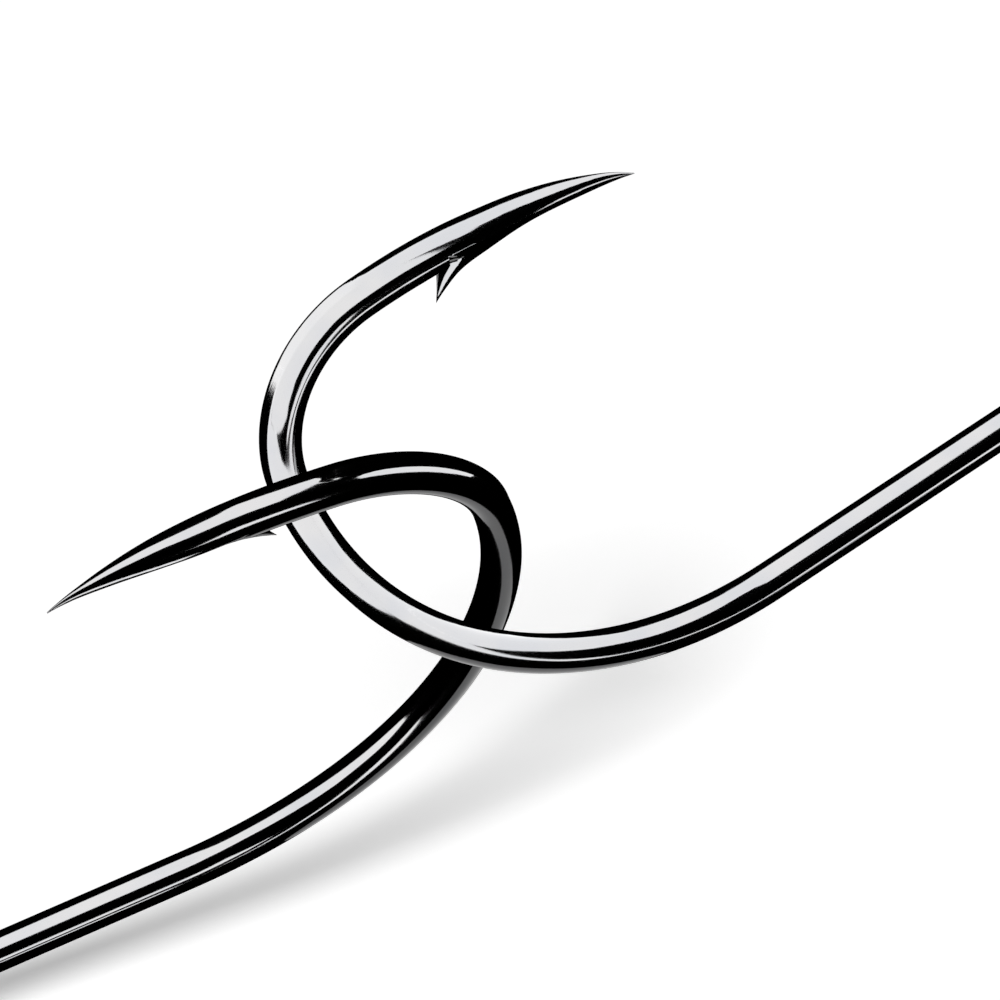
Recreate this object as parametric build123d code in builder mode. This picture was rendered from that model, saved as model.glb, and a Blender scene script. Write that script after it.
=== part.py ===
"""Two identical barbed single hooks, linked through each other's bends.

Row frame: the origin is the centre of the upper hook's line eye, +Z is up, and
the upper hook's shank heads towards +X. Sizes are in millimetres, angles in degrees.
"""

import os
from math import acos, cos, degrees, radians, sin, sqrt

from build123d import *

# --- the wire and its bends -------------------------------------------------
wire_d = 1.5            # drawn wire
shank_len = 19.0        # start of the bend to the centre of the line eye
bend_r = 16.0           # quarter turn from the shank to the deepest point
crown_r = 5.4           # tight turn from the bend into the point leg
crown_turn = 84.0
leg_r = 24.7            # gentle inward curve of the point leg
leg_len = 11.1          # end of the crown to the tip, along the leg
point_offset = 3.3      # sideways set of the point leg, as in a kirbed hook

# --- the line eye -----------------------------------------------------------
eye_bore = 2.2          # clear hole in the ring
eye_land = 0.06         # the sizing pin presses the ring's inside flat this deep
eye_neck_r = 1.5        # curve that carries the wire from the shank to the ring
eye_end_gap = 0.12      # slit between the end of the ring and the shank

# --- the ground point and the barb -------------------------------------------
taper_len = 6.4         # ground length, back from the tip
tip_r = 0.03
point_lift = 0.14       # the ground tip is set to the outside of the leg
barb_back = 8.6         # barb tip to hook tip, along the leg
barb_stand = 1.2        # how far the barb tip stands off the wire
barb_reach = 5.0        # barb tip forward to where it fairs into the ground point
barb_rake = 0.8         # root of the cut sits this far ahead of the barb tip
barb_cut = 0.3          # depth of the chisel cut into the wire
barb_half = 0.45        # half thickness of the barb
barb_bevel = 20.0       # both flanks of the barb lean in to an edge

# --- how the pair lies --------------------------------------------------------
seat_gap = 0.1          # clearance left where wire lies on wire
upper_rise = 7.9        # the upper shank climbs towards its eye
upper_lean = -18.4      # its gape leans this far off the vertical
lower_heading = 164.0
lower_rise = -14.0      # the lower shank falls towards its eye
lower_lean = -7.3
upper_seat_turn = 5.0   # where the lower leg crosses the upper crown
lower_seat_len = 1.45   # the same crossing, measured along the lower leg

wire_r = wire_d / 2
eye_r = eye_bore / 2 + wire_r - eye_land


# --- one hook, drawn in its own plane -------------------------------------------
# Local frame: the shank runs along +X to the eye, the point leg stands at +Y.
deepest = Vector(-bend_r, bend_r, 0)
leg_axis = Vector(1, 0, 0).rotate(Axis.Y, -point_offset)
leg_plane = Plane(origin=deepest, x_dir=leg_axis, z_dir=leg_axis.cross(Vector(0, 1, 0)))


def on_crown(turn):
    """Centreline point and heading in the leg plane, this far round the crown."""
    a = radians(turn)
    return Vector(crown_r * (1 - cos(a)), crown_r * sin(a)), Vector(sin(a), cos(a))


def on_leg(length, outward=0.0):
    """Point beside the leg's centreline, and the leg's heading there."""
    start, heading = on_crown(crown_turn)
    inward = Vector(heading.Y, -heading.X)
    a = length / leg_r
    radial = inward * -cos(a) + heading * sin(a)
    point = start + inward * leg_r + radial * (leg_r + outward)
    return point, heading * cos(a) + inward * sin(a)


def leg_point(length, outward=0.0):
    return on_leg(length, outward)[0]


def in_hook(flat):
    """A leg-plane vector, point or heading, in the hook's own frame."""
    return leg_axis * flat.X + Vector(0, 1, 0) * flat.Y


with BuildPart() as hook_blank:
    # Wire: eye ring, neck, shank, bend and crown, up to the ground length
    neck_turn = degrees(acos(eye_neck_r / (eye_neck_r + eye_r)))
    neck_len = sqrt(eye_r**2 + 2 * eye_r * eye_neck_r)
    centres = eye_neck_r + eye_r
    clear = eye_neck_r + wire_d + eye_end_gap
    end_turn = degrees(acos((centres**2 + eye_r**2 - clear**2) / (2 * centres * eye_r)))
    crown_end, crown_heading = on_crown(crown_turn)
    with BuildLine() as wire_path:
        CenterArc((shank_len, 0), eye_r, 90 + neck_turn, end_turn - 360)
        CenterArc((shank_len - neck_len, eye_neck_r), eye_neck_r, -90, neck_turn)
        Line((shank_len - neck_len, 0), (0, 0))
        bend = CenterArc((0, bend_r), bend_r, 270, -90)
        crown = TangentArc(deepest, deepest + in_hook(crown_end), tangent=(0, 1, 0))
        ground_start = deepest + in_hook(leg_point(leg_len - taper_len))
        leg = TangentArc(crown @ 1, ground_start, tangent=in_hook(crown_heading))
    with BuildSketch(Plane(origin=leg @ 1, z_dir=leg % 1)):
        Circle(wire_r)
    sweep(path=wire_path.line)
    with Locations((shank_len, 0, 0)):
        Cylinder(eye_bore / 2, wire_d, mode=Mode.SUBTRACT)

    # Ground point: the round wire thins faster across its flats than in its depth
    with BuildPart() as ground_point:
        steps = 8
        for k in range(steps + 1):
            left = 1 - k / steps
            depth = tip_r + (wire_r - tip_r) * left**0.7
            across = tip_r + (wire_r - tip_r) * left**0.9
            lift = point_lift * (1 - left**2)
            point, heading = on_leg(leg_len - left * taper_len, lift)
            section = Plane(
                origin=deepest + in_hook(point),
                x_dir=in_hook(Vector(-heading.Y, heading.X)),
                z_dir=in_hook(heading),
            )
            with BuildSketch(section):
                Ellipse(depth, across)
        loft()

    # Barb: a wedge with bevelled flanks, raised by a chisel cut behind it
    barb_at = leg_len - barb_back
    barb_tip = leg_point(barb_at, -wire_r - barb_stand)
    cut_root = leg_point(barb_at + barb_rake, barb_cut - wire_r)
    cut_tail = barb_at - barb_rake
    fair_end = leg_point(barb_at + barb_reach, -wire_r * 0.6)
    fair_mid = leg_point(barb_at + 0.34 * barb_reach, -wire_r - 0.3 * barb_stand)
    flat = Plane(origin=deepest, x_dir=leg_plane.x_dir, z_dir=leg_plane.z_dir)
    with BuildSketch(flat):
        with BuildLine():
            ThreePointArc(barb_tip, fair_mid, fair_end)
            heel = leg_point(barb_at + 2 * barb_rake)
            Polyline(fair_end, leg_point(barb_at + 0.8 * barb_reach), heel, cut_root, barb_tip)
        make_face()
    extrude(amount=barb_half, both=True, taper=barb_bevel)
    with BuildSketch(flat):
        with BuildLine():
            clear_back = leg_point(cut_tail, -wire_r - barb_stand)
            Polyline(cut_root, barb_tip, clear_back, leg_point(cut_tail, -wire_r), cut_root)
        make_face()
    extrude(amount=wire_d, both=True, mode=Mode.SUBTRACT)


# --- the linked pair ---------------------------------------------------------------
def hook_seat(heading, rise, lean, origin=(0, 0, 0)):
    """Plane of a hook whose shank points this way and whose gape leans from vertical."""
    shank_dir = Vector(1, 0, 0).rotate(Axis.Y, -rise).rotate(Axis.Z, heading)
    side = shank_dir.cross(Vector(0, 0, 1)).normalized()
    gape_dir = side.cross(shank_dir) * cos(radians(lean)) + side * sin(radians(lean))
    return Plane(origin=origin, x_dir=shank_dir, z_dir=shank_dir.cross(gape_dir))


def place(seat, point):
    return seat.from_local_coords(point)


def aim(seat, direction):
    return place(seat, direction) - seat.origin


# The upper hook's eye is the row origin
upper_seat = hook_seat(0, upper_rise, upper_lean)
upper_seat.origin = -aim(upper_seat, Vector(shank_len, 0, 0))

# The lower leg lies across the upper crown, one wire and the clearance apart
cross_point, cross_heading = on_crown(upper_seat_turn)
swing_point = place(upper_seat, deepest + in_hook(cross_point))
swing_dir = aim(upper_seat, in_hook(cross_heading))
leg_at, leg_heading = on_leg(lower_seat_len)
lower_seat = hook_seat(lower_heading, lower_rise, lower_lean)
apart = swing_dir.cross(aim(lower_seat, in_hook(leg_heading))).normalized()
if apart.dot(upper_seat.z_dir) < 0:
    apart = -apart
leg_target = swing_point + apart * (wire_d + seat_gap)
lower_seat.origin = leg_target - aim(lower_seat, deepest + in_hook(leg_at))
swing_axis = Axis(swing_point, swing_dir)


def bends_apart(swing):
    """Centreline distance of the two bends after the lower hook swings."""
    lower_bend = bend.moved(lower_seat.location).rotate(swing_axis, swing)
    return bend.moved(upper_seat.location).distance_to(lower_bend)


# Swing the lower hook about the upper wire until the bends lie together as well
seat_swing = 40.0
while bends_apart(seat_swing) > wire_d + seat_gap and seat_swing > -40:
    seat_swing -= 1.0
swing_step = 0.5
while swing_step > 0.0005:
    closer = bends_apart(seat_swing) < wire_d + seat_gap
    seat_swing += swing_step if closer else -swing_step
    swing_step /= 2

with BuildPart() as upper_hook:
    add(hook_blank.part.moved(upper_seat.location))
upper_hook.part.label = "upper_hook"

with BuildPart() as lower_hook:
    add(hook_blank.part.moved(lower_seat.location).rotate(swing_axis, seat_swing))
lower_hook.part.label = "lower_hook"

os.makedirs("parts", exist_ok=True)
export_step(upper_hook.part, "parts/upper_hook.step")
export_step(lower_hook.part, "parts/lower_hook.step")
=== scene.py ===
"""Two linked black-nickel fish hooks above a pale floor, in the row frame (metres)."""

from math import acos, atan2, cos, pi, radians, sin, sqrt

import bmesh
import bpy
from mathutils import Matrix, Vector


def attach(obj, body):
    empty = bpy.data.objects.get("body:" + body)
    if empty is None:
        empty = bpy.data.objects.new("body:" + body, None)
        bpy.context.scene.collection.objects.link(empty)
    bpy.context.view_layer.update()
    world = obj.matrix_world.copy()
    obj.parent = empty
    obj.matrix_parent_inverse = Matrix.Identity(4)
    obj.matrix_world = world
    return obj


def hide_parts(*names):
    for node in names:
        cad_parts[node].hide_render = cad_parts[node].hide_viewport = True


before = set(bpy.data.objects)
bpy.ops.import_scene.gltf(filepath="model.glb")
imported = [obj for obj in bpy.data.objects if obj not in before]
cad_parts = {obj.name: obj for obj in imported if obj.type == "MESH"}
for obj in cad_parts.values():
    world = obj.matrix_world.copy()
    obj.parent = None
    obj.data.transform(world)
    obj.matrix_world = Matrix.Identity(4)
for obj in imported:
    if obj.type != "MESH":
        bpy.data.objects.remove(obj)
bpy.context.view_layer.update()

MM = 0.001

# --- the hook, in its own frame, in millimetres: shank along +X, point leg at +Y ---
WIRE_R = 0.75
SHANK = 19.0
BEND_R = 16.0
CROWN_R = 5.4
CROWN_TURN = radians(84.0)
LEG_R = 24.7
LEG = 11.1
POINT_OFFSET = radians(3.3)

EYE_BORE_R = 1.1
EYE_R = 1.79
NECK_R = 1.5
EYE_SLIT = 0.12

# The barb's tip, and the chisel cut that raises it, by length from the crown
BARB_AT = 2.5
BARB_RAKE = 0.8
RAKE_RUN = 4.0
CUT_TAIL = 1.7
CUT_DEPTH = 0.3

# The barb's back edge is rolled over this far, less and less towards the point
ROLL_SHARE = 0.6
ROLL_MOST = 0.3
ROLL_FADE = 0.4
ROLL_FROM = 0.05
ROLL_RUN = 0.5

# Faces round the wire, and rings along each stretch of it
AROUND = 72
EYE_RINGS = 64
NECK_RINGS = 24
SHANK_RINGS = 4
BEND_RINGS = 60
CROWN_RINGS = 48
LEG_RINGS = 6
CUT_RINGS = 8
POINT_RINGS = 60
SHARP_EDGE = radians(30)

# Seats of the two hooks: columns are the hook's own axes and its start of bend
UPPER_SEAT = Matrix((
    (0.990509, -0.130418, -0.043384, -18.81968),
    (0.0, 0.315649, -0.948876, 0.0),
    (0.137445, 0.939871, 0.312653, -2.611446),
    (0, 0, 0, 1),
))
LOWER_SEAT = Matrix((
    (-0.933852, -0.264460, 0.240794, -40.862678),
    (0.264315, -0.056732, 0.962766, 7.212618),
    (-0.240953, 0.962726, 0.122880, -11.956017),
    (0, 0, 0, 1),
))

X, Y, Z = Vector((1, 0, 0)), Vector((0, 1, 0)), Vector((0, 0, 1))
DEEPEST = Vector((-BEND_R, BEND_R, 0))
LEG_X = Vector((cos(POINT_OFFSET), 0, sin(POINT_OFFSET)))
LEG_Z = LEG_X.cross(Y)


def edges_of(geom):
    return [g for g in geom if isinstance(g, bmesh.types.BMEdge)]


def verts_of(geom):
    return [g for g in geom if isinstance(g, bmesh.types.BMVert)]


def bend_on(bm, ring, centre, axis, angle, steps):
    """Carries the open end of the wire round an arc and returns the new end."""
    made = bmesh.ops.spin(
        bm, geom=ring, cent=centre, axis=axis, dvec=(0, 0, 0), angle=angle,
        steps=steps, use_merge=False, use_normal_flip=False, use_duplicate=False,
    )
    return made["geom_last"]


def run_on(bm, ring, step):
    """Carries the open end of the wire straight on by a step and returns the new end."""
    made = bmesh.ops.extrude_edge_only(bm, edges=edges_of(ring))["geom"]
    new = verts_of(made)
    bmesh.ops.translate(bm, verts=new, vec=step)
    return new + [e for e in edges_of(made) if all(v in new for v in e.verts)]


def on_leg(length):
    """Centreline point, heading and outward direction on the point leg."""
    heading = LEG_X * sin(CROWN_TURN) + Y * cos(CROWN_TURN)
    inward = LEG_X * cos(CROWN_TURN) - Y * sin(CROWN_TURN)
    start = DEEPEST + LEG_X * CROWN_R * (1 - cos(CROWN_TURN)) + Y * CROWN_R * sin(CROWN_TURN)
    a = length / LEG_R
    out = heading * sin(a) - inward * cos(a)
    point = start + inward * LEG_R + out * LEG_R
    return point, heading * cos(a) + inward * sin(a), out


def along(table, length):
    """Smooth value between the rows of a (length, value) table."""
    k = max(j for j in range(len(table) - 1) if table[j][0] <= length or j == 0)
    (x0, y0), (x1, y1) = table[k], table[k + 1]
    before = table[k - 1] if k else (2 * x0 - x1, 2 * y0 - y1)
    after = table[k + 2] if k + 2 < len(table) else (2 * x1 - x0, 2 * y1 - y0)
    t = max(0.0, min(1.0, (length - x0) / (x1 - x0)))
    m0 = (y1 - before[1]) / (x1 - before[0]) * (x1 - x0)
    m1 = (after[1] - y0) / (after[0] - x0) * (x1 - x0)
    return (
        y0 * (2 * t**3 - 3 * t**2 + 1)
        + m0 * (t**3 - 2 * t**2 + t)
        + y1 * (3 * t**2 - 2 * t**3)
        + m1 * (t**3 - t**2)
    )


# Half sizes of the point leg by length from the crown. The barb's table takes over from
# the inner side's where it stands further out.
OUTER = [
    (0, 0.75), (2.0, 0.745), (3.6, 0.715), (5.2, 0.66), (6.7, 0.64), (8.2, 0.56),
    (9.8, 0.38), (10.5, 0.25), (11.1, 0.09),
]
INNER = [
    (0, 0.75), (3.3, 0.75), (5.2, 0.72), (6.8, 0.56), (8.9, 0.27), (10.5, 0.02),
    (11.1, -0.05),
]
BARB = [
    (2.5, 1.95), (2.91, 1.69), (3.83, 1.22), (5.16, 0.93), (6.8, 0.58), (8.9, 0.28),
    (10.5, 0.02), (11.1, -0.05),
]
FLATS = [
    (0, 0.75), (3.3, 0.75), (5.1, 0.72), (6.75, 0.59), (8.55, 0.35), (9.75, 0.17),
    (10.5, 0.08), (11.1, 0.03),
]


def rolled(w, u, back):
    """How far a flank of the barb is drawn in at its back edge."""
    if u >= ROLL_FROM:
        return 0.0
    thin = min(abs(w) * ROLL_SHARE, ROLL_MOST) * min(1.0, (ROLL_FROM - u) / ROLL_RUN)
    return max(0.0, thin - back * ROLL_FADE)


def shape_ring(verts, turn, length, cut=0.0, barb=False):
    """Puts the ring at this place on the leg, with the chisel cut or the barb's wedge."""
    outer, across, inner = along(OUTER, length), along(FLATS, length), along(INNER, length)
    middle = (outer - inner) / 2
    rake = 0.0
    root = WIRE_R - CUT_DEPTH
    back = length - BARB_AT - BARB_RAKE
    if barb:
        rake = BARB_RAKE * max(0.0, 1 - back / RAKE_RUN) ** 2
        inner = max(inner, along(BARB, length - rake))
    for v in verts:
        out, side = cos(v[turn]), sin(v[turn])
        if out >= 0:
            u = middle + (outer - middle) * out
            w = across * side
        else:
            u = middle + (inner + middle) * out
            w = across * ((1 + out) * (1 if side > 0 else -1) if barb else side)
        if cut:
            u = max(u, cut - WIRE_R)
        deep = 0.0
        if barb:
            w -= rolled(w, u, back) * (1 if w > 0 else -1)
            if inner > root:
                deep = (-u - root) / (inner - root)
        point, _, outward = on_leg(length - rake * max(0.0, min(1.0, deep)))
        v.co = point + outward * u + LEG_Z * w


def build_hook(name, seat, body):
    """One hook from a single wire, drawn from the end of its eye to the tip."""
    bm = bmesh.new()
    turn = bm.verts.layers.float.new("turn")
    wire = bm.verts.layers.float_vector.new("wire")
    centres = NECK_R + EYE_R
    neck_turn = acos(NECK_R / centres)
    neck_len = sqrt(EYE_R**2 + 2 * EYE_R * NECK_R)
    clear = NECK_R + 2 * WIRE_R + EYE_SLIT
    end_turn = acos((centres**2 + EYE_R**2 - clear**2) / (2 * centres * EYE_R))
    eye = X * SHANK
    a = pi / 2 + neck_turn + end_turn
    radial = Vector((cos(a), sin(a), 0))
    place = Matrix.Identity(4)
    for row in range(3):
        place[row] = (radial[row], Z[row], radial.cross(Z)[row], (eye + radial * EYE_R)[row])
    bmesh.ops.create_circle(bm, cap_ends=False, radius=WIRE_R, segments=AROUND, matrix=place)
    ring = bm.verts[:] + bm.edges[:]
    ring = bend_on(bm, ring, eye, Z, 2 * pi - end_turn, EYE_RINGS)
    # The sizing pin presses the inside of the eye flat
    for v in bm.verts:
        flat = (v.co - eye) * Vector((1, 1, 0))
        if flat.length < EYE_BORE_R:
            v.co += flat.normalized() * (EYE_BORE_R - flat.length)
    neck = Vector((SHANK - neck_len, NECK_R, 0))
    ring = bend_on(bm, ring, neck, Z, -neck_turn, NECK_RINGS)
    for _ in range(SHANK_RINGS):
        ring = run_on(bm, ring, X * (neck_len - SHANK) / SHANK_RINGS)
    ring = bend_on(bm, ring, Y * BEND_R, Z, -pi / 2, BEND_RINGS)
    ring = bend_on(bm, ring, DEEPEST + LEG_X * CROWN_R, LEG_Z, -CROWN_TURN, CROWN_RINGS)

    # The point leg: round wire, the chisel cut, then the barb and the ground point
    start, heading, outward = on_leg(0)
    for v in verts_of(ring):
        v[turn] = atan2((v.co - start).dot(LEG_Z), (v.co - start).dot(outward))

    root = BARB_AT + BARB_RAKE
    stations = [(CUT_TAIL * k / LEG_RINGS, 0.0, False) for k in range(1, LEG_RINGS + 1)]
    for k in range(1, CUT_RINGS + 1):
        length = CUT_TAIL + (root - CUT_TAIL) * k / CUT_RINGS
        stations.append((length, CUT_DEPTH * k / CUT_RINGS, False))
    for k in range(POINT_RINGS + 1):
        stations.append((root + (LEG - root) * k / POINT_RINGS, 0.0, True))
    for length, cut, barb in stations:
        ring = run_on(bm, ring, Vector())
        shape_ring(verts_of(ring), turn, length, cut, barb)
    # Place round the wire and ring number, for the lines that drawing leaves
    for number, v in enumerate(bm.verts):
        a = 2 * pi * (number % AROUND) / AROUND
        v[wire] = (cos(a), sin(a), number // AROUND)
    bmesh.ops.holes_fill(bm, edges=bm.edges[:], sides=0)
    bmesh.ops.remove_doubles(bm, verts=bm.verts[:], dist=1e-4)
    bmesh.ops.dissolve_degenerate(bm, dist=1e-5, edges=bm.edges[:])
    bmesh.ops.recalc_face_normals(bm, faces=bm.faces[:])
    bmesh.ops.transform(bm, matrix=Matrix.Scale(MM, 4) @ seat, verts=bm.verts[:])
    mesh = bpy.data.meshes.new(name)
    bm.to_mesh(mesh)
    bm.free()
    mesh.shade_smooth()
    mesh.set_sharp_from_angle(angle=SHARP_EDGE)
    hook = bpy.data.objects.new(name, mesh)
    bpy.context.scene.collection.objects.link(hook)
    # Neither hook is mirrored in the other
    hook.visible_glossy = False
    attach(hook, body)
    return hook


# --- finish ---------------------------------------------------------------------
def plating_detail():
    """Node group: clouding, roughness and the fine lines that drawing leaves along the wire."""
    group = bpy.data.node_groups.new("plating detail", "ShaderNodeTree")
    for socket, kind in (("Clouding", "NodeSocketFloat"), ("Roughness", "NodeSocketFloat"),
                         ("Normal", "NodeSocketVector")):
        group.interface.new_socket(socket, in_out="OUTPUT", socket_type=kind)
    nodes, link = group.nodes, group.links.new
    end = nodes.new("NodeGroupOutput")

    def noise(space, scale, detail, stretch=(1, 1, 1)):
        spread = nodes.new("ShaderNodeMapping")
        spread.inputs["Scale"].default_value = stretch
        link(space, spread.inputs["Vector"])
        made = nodes.new("ShaderNodeTexNoise")
        made.inputs["Scale"].default_value = scale
        made.inputs["Detail"].default_value = detail
        link(spread.outputs["Vector"], made.inputs["Vector"])
        return made.outputs["Fac"]

    def ranged(value, low, high, to_low, to_high):
        made = nodes.new("ShaderNodeMapRange")
        for socket, number in (("From Min", low), ("From Max", high),
                               ("To Min", to_low), ("To Max", to_high)):
            made.inputs[socket].default_value = number
        link(value, made.inputs["Value"])
        return made.outputs["Result"]

    def bump(height, distance, strength, under=None):
        made = nodes.new("ShaderNodeBump")
        made.inputs["Distance"].default_value = distance
        made.inputs["Strength"].default_value = strength
        link(height, made.inputs["Height"])
        if under:
            link(under, made.inputs["Normal"])
        return made.outputs["Normal"]

    room = nodes.new("ShaderNodeTexCoord").outputs["Object"]
    wire = nodes.new("ShaderNodeAttribute")
    wire.attribute_name = "wire"
    along_wire = wire.outputs["Vector"]
    clouds = noise(room, scale=420.0, detail=4.0)
    lines = noise(along_wire, scale=9.0, detail=5.0, stretch=(1, 1, 0.012))
    orange_peel = noise(room, scale=1500.0, detail=2.0)
    clouding = ranged(clouds, 0.35, 0.65, to_low=0.0, to_high=1.0)
    roughness = ranged(lines, 0.3, 0.7, to_low=0.05, to_high=0.085)
    peel = bump(orange_peel, distance=0.00001, strength=0.05)
    normal = bump(lines, distance=0.00001, strength=0.12, under=peel)
    link(clouding, end.inputs["Clouding"])
    link(roughness, end.inputs["Roughness"])
    link(normal, end.inputs["Normal"])
    return group


def black_nickel():
    material = bpy.data.materials.new("black nickel plating")
    material.use_nodes = True
    tree = material.node_tree
    shader = tree.nodes["Principled BSDF"]
    shader.inputs["Metallic"].default_value = 1.0
    detail = tree.nodes.new("ShaderNodeGroup")
    detail.node_tree = plating_detail()
    tone = tree.nodes.new("ShaderNodeMix")
    tone.data_type = "RGBA"
    tone.inputs["A"].default_value = (0.076, 0.077, 0.08, 1)
    tone.inputs["B"].default_value = (0.083, 0.0825, 0.083, 1)
    tree.links.new(detail.outputs["Clouding"], tone.inputs["Factor"])
    tree.links.new(tone.outputs["Result"], shader.inputs["Base Color"])
    tree.links.new(detail.outputs["Roughness"], shader.inputs["Roughness"])
    tree.links.new(detail.outputs["Normal"], shader.inputs["Normal"])
    return material


nickel = black_nickel()
upper = build_hook("upper_hook_wire", UPPER_SEAT, "upper_hook")
lower = build_hook("lower_hook_wire", LOWER_SEAT, "lower_hook")
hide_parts("upper_hook")
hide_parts("lower_hook")
for hook in (upper, lower):
    hook.data.materials.append(nickel)

# --- floor, light and camera ------------------------------------------------------
# Ranges are the distances of the panels and of the black tent from the centre
CENTRE = Vector((-0.030, 0.005, 0.0))
FLOOR_Z = -0.01906
FLOOR_GLOW = 0.43
WORLD_LEAST = 0.05
RADIANCE = 9.3
DIM_RADIANCE = 4.0
UPPER_RANGE, LOWER_RANGE, TENT_RANGE = 1.2, 1.15, 1.3
PANEL_STEP = 6
OPENING_R = 0.009
OPENING_AT = (0.002, -0.006, 0)


def towards(azimuth, elevation):
    a, e = radians(azimuth), radians(elevation)
    return Vector((cos(a) * cos(e), sin(a) * cos(e), sin(e)))


def add_object(name, bm, material):
    mesh = bpy.data.meshes.new(name)
    bm.to_mesh(mesh)
    bm.free()
    made = bpy.data.objects.new(name, mesh)
    made.data.materials.append(material)
    bpy.context.scene.collection.objects.link(made)
    return made


def background_rays(tree):
    """Mask of the rays that show a background: camera, glossy and transmission rays."""
    path = tree.nodes.new("ShaderNodeLightPath")
    total = None
    for ray in ("Is Camera Ray", "Is Glossy Ray", "Is Transmission Ray"):
        if total is None:
            total = path.outputs[ray]
            continue
        most = tree.nodes.new("ShaderNodeMath")
        most.operation = "MAXIMUM"
        tree.links.new(total, most.inputs[0])
        tree.links.new(path.outputs[ray], most.inputs[1])
        total = most.outputs[0]
    return total


def make_floor():
    """White paper, partly lit by the lamp and partly shown by its own rays."""
    bm = bmesh.new()
    bmesh.ops.create_circle(bm, cap_ends=True, radius=3.0, segments=96)
    bmesh.ops.translate(bm, verts=bm.verts, vec=(CENTRE.x, CENTRE.y, FLOOR_Z))
    material = bpy.data.materials.new("white paper")
    material.use_nodes = True
    tree = material.node_tree
    shader = tree.nodes["Principled BSDF"]
    shader.inputs["Base Color"].default_value = (0.9, 0.9, 0.9, 1)
    shader.inputs["Roughness"].default_value = 0.9
    shader.inputs["Specular IOR Level"].default_value = 0.0
    shader.inputs["Emission Color"].default_value = (1, 1, 1, 1)
    shown = tree.nodes.new("ShaderNodeMath")
    shown.operation = "MULTIPLY"
    shown.inputs[1].default_value = FLOOR_GLOW
    tree.links.new(background_rays(tree), shown.inputs[0])
    tree.links.new(shown.outputs[0], shader.inputs["Emission Strength"])
    return add_object("floor", bm, material)


make_floor()


def soft_sun(azimuth, elevation, spread, strength, blocker):
    """A broad distant lamp for the paper that only one hook casts a shadow from."""
    data = bpy.data.lights.new("key", "SUN")
    data.angle = radians(spread)
    data.energy = strength
    light = bpy.data.objects.new("key", data)
    light.rotation_mode = "QUATERNION"
    light.rotation_quaternion = towards(azimuth, elevation).to_track_quat("Z", "Y")
    light.visible_glossy = False
    shading = bpy.data.collections.new("key shadows")
    shading.objects.link(blocker)
    light.light_linking.blocker_collection = shading
    bpy.context.scene.collection.objects.link(light)


soft_sun(azimuth=207, elevation=55.5, spread=14, strength=2.4, blocker=lower)


def glow(name, radiance):
    """A light panel's face, or a black card's where the radiance is 0."""
    material = bpy.data.materials.new(name)
    material.use_nodes = True
    tree = material.node_tree
    tree.nodes.remove(tree.nodes["Principled BSDF"])
    light = tree.nodes.new("ShaderNodeEmission")
    light.inputs["Strength"].default_value = radiance
    surface = light.outputs[0]
    if radiance:
        # Rays of the hook that a panel isn't for pass through it
        clear = tree.nodes.new("ShaderNodeBsdfTransparent")
        both = tree.nodes.new("ShaderNodeAddShader")
        tree.links.new(surface, both.inputs[0])
        tree.links.new(clear.outputs[0], both.inputs[1])
        surface = both.outputs[0]
    tree.links.new(surface, tree.nodes["Material Output"].inputs["Surface"])
    return material


def hide_from_view(card):
    card.visible_camera = False
    card.visible_diffuse = False
    card.visible_shadow = False


def show_only_in(card, hook):
    lit = bpy.data.collections.new(card.name + " lights")
    lit.objects.link(hook)
    card.light_linking.receiver_collection = lit


def filled_outline(outline, height=0.0):
    """A flat mesh inside an outline that may have hollows."""
    bm = bmesh.new()
    corners = [bm.verts.new((x, y, height)) for x, y in outline]
    rim = [bm.edges.new((corners[k - 1], corners[k])) for k in range(len(corners))]
    bmesh.ops.triangle_fill(bm, edges=rim, normal=Z)
    return bm


def light_panel(name, outline, radiance, hook, distance):
    """A curved light panel around the hooks that only shows as a reflection in one of them.

    The outline is drawn flat as (azimuth, elevation), cut every PANEL_STEP degrees and
    wrapped onto a sphere.
    """
    bm = filled_outline(outline)
    for axis in (X, Y):
        for cut in range(-90, 456, PANEL_STEP):
            bmesh.ops.bisect_plane(
                bm, geom=bm.verts[:] + bm.edges[:] + bm.faces[:], dist=1e-6,
                plane_co=axis * cut, plane_no=axis,
            )
    bmesh.ops.triangulate(bm, faces=bm.faces[:])
    for v in bm.verts:
        v.co = CENTRE + towards(v.co.x, v.co.y) * distance
    panel = add_object(name, bm, glow(name, radiance))
    hide_from_view(panel)
    show_only_in(panel, hook)


light_panel("upper sky", [
    (-76, 90), (-76, 80), (-66, 60), (-48, 68), (-40, 66), (-44, 54), (-44, 40), (-38, 36),
    (-40, 18), (-55, -1), (29, -1), (30, 32), (46, 38), (56, 40), (70, 34), (82, 30), (88, 18),
    (110, 6), (117, -1), (252, -1), (246, 4), (240, 16), (240, 26), (250, 40), (270, 41),
    (280, 40), (282, 68), (284, 90),
], RADIANCE, upper, UPPER_RANGE)
light_panel("upper strip", [
    (263, -1), (264, 6), (268, 10), (273, 9), (276, -1),
], RADIANCE, upper, UPPER_RANGE)
light_panel("lower top", [
    (70, 70), (78, 76), (106, 82), (136, 84), (160, 90), (182, 82), (208, 78), (218, 72),
    (224, 60), (202, 58), (190, 50), (188, 20), (178, 6), (164, -1), (147, -1), (142, 22),
    (128, 36), (118, 48), (108, 48), (94, 40), (92, 52), (78, 62),
], RADIANCE, lower, LOWER_RANGE)
light_panel("lower side", [
    (272, 60), (286, 68), (302, 72), (336, 70), (352, 68), (360, 60), (360, 36), (352, -1),
    (333, -1), (310, 24), (294, 36), (278, 46), (270, 48),
], RADIANCE, lower, LOWER_RANGE)
light_panel("lower strip", [
    (238, 14), (250, 8), (253, -1), (236, -1),
], RADIANCE, lower, LOWER_RANGE)


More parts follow.
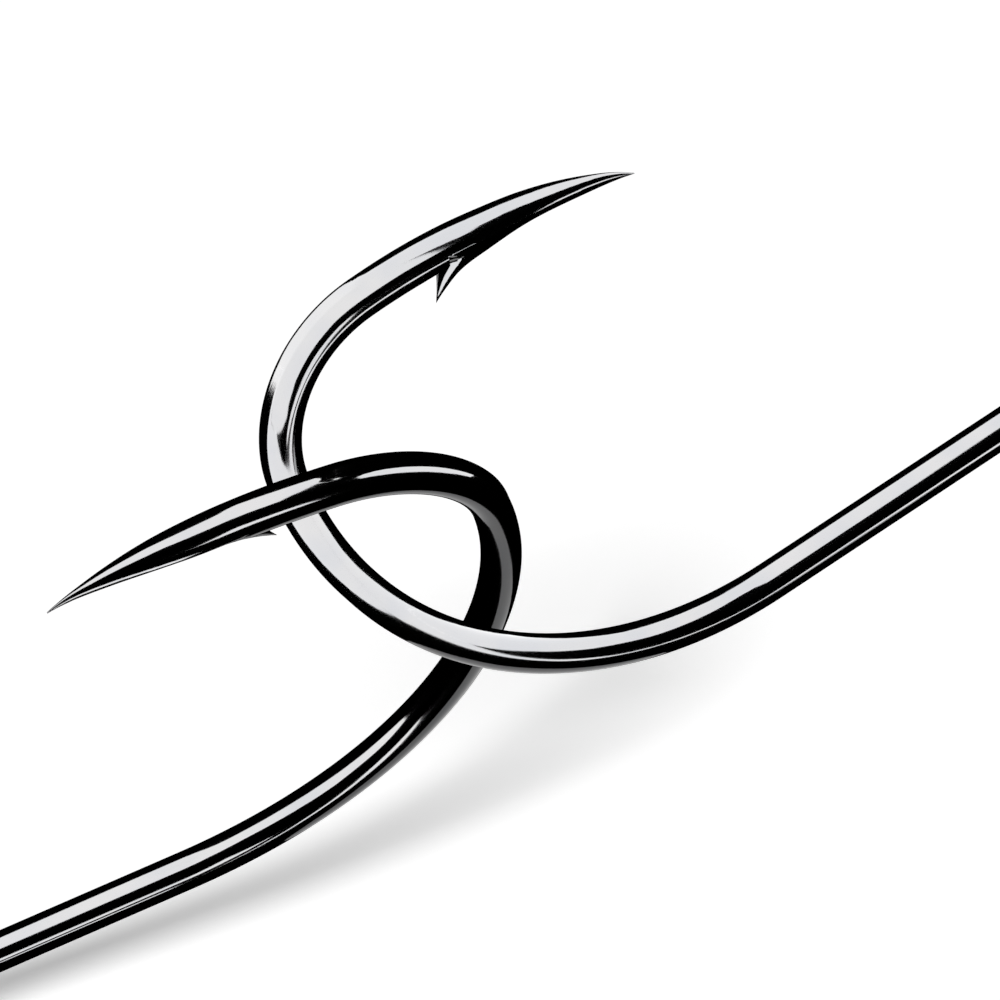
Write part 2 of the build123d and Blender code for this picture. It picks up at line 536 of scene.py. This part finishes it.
def table_card(name, outline, height, radiance, hook):
    """A flat card on the table, drawn in millimetres, that only shows as a reflection."""
    bm = filled_outline([(x * MM, y * MM) for x, y in outline], FLOOR_Z + height)
    card = add_object(name, bm, glow(name, radiance))
    hide_from_view(card)
    show_only_in(card, hook)


table_card("upper front table", [
    (-700, 1150), (-130, 120), (-107, 48), (-98, 29), (-84, 14), (-62, 0), (-52, -15),
    (-42, -27), (-33, -40), (-26, -50), (-14, -61), (-4, -72), (4, -76), (14, -58), (20, -45),
    (45, -40), (62, -54), (100, -48), (170, -38), (400, -10), (1150, 60), (1150, -1150),
    (700, -1150), (560, -893), (93, -234), (28, -137), (8, -97), (-5, -96), (-43, -112),
    (-100, -120), (-400, -300), (-1150, -700),
], height=0.0004, radiance=RADIANCE, hook=upper)
table_card("upper crown table", [
    (-50, -150), (-14, -120), (4, -392), (70, -1000), (-100, -1000),
], height=0.0005, radiance=RADIANCE, hook=upper)
table_card("upper shank table", [
    (0, -50), (6, -76), (14, -70), (8, -45),
], height=0.0005, radiance=DIM_RADIANCE, hook=upper)
table_card("lower front table", [
    (-72, -13), (-48, -15), (-52, -26), (-72, -26),
], height=0.0003, radiance=RADIANCE, hook=lower)


def black_surround():
    """A black tent with a white opening in the table, seen in reflections only."""
    bm = bmesh.new()
    bmesh.ops.create_circle(bm, radius=TENT_RANGE, segments=72)
    hole = bmesh.ops.create_circle(bm, radius=OPENING_R, segments=72)["verts"]
    bmesh.ops.scale(bm, vec=(1, 1.2, 1), verts=hole)
    bmesh.ops.translate(bm, verts=hole, vec=OPENING_AT)
    bmesh.ops.bridge_loops(bm, edges=bm.edges[:])
    dome = bmesh.ops.create_uvsphere(bm, u_segments=72, v_segments=36, radius=TENT_RANGE)
    below = [v for v in dome["verts"] if v.co.z < -MM]
    bmesh.ops.delete(bm, geom=below, context="VERTS")
    bmesh.ops.translate(bm, verts=bm.verts, vec=(CENTRE.x, CENTRE.y, FLOOR_Z + 0.1 * MM))
    hide_from_view(add_object("black surround", bm, glow("black card", 0.0)))


black_surround()

world = bpy.data.worlds.new("studio")
world.use_nodes = True
backdrop = world.node_tree.nodes["Background"]
backdrop.inputs["Color"].default_value = (1, 1, 1, 1)
least = world.node_tree.nodes.new("ShaderNodeMath")
least.operation = "MAXIMUM"
least.inputs[1].default_value = WORLD_LEAST
world.node_tree.links.new(background_rays(world.node_tree), least.inputs[0])
world.node_tree.links.new(least.outputs[0], backdrop.inputs["Strength"])
bpy.context.scene.world = world

camera = bpy.data.objects.new("camera", bpy.data.cameras.new("camera"))
camera.data.lens = 180
camera.data.sensor_width = 36
right = Vector((0.8203, -0.5719, 0.0)).normalized()
back = Vector((-0.3676, -0.5273, 0.7660)).normalized()
up = back.cross(right)
camera.matrix_world = Matrix((
    (right.x, up.x, back.x, -0.09516),
    (right.y, up.y, back.y, -0.09161),
    (right.z, up.z, back.z, 0.14367),
    (0, 0, 0, 1),
))
camera.data.clip_start, camera.data.clip_end = 0.01, 20
bpy.context.scene.collection.objects.link(camera)
bpy.context.scene.camera = camera
bpy.context.scene.view_settings.view_transform = "Standard"
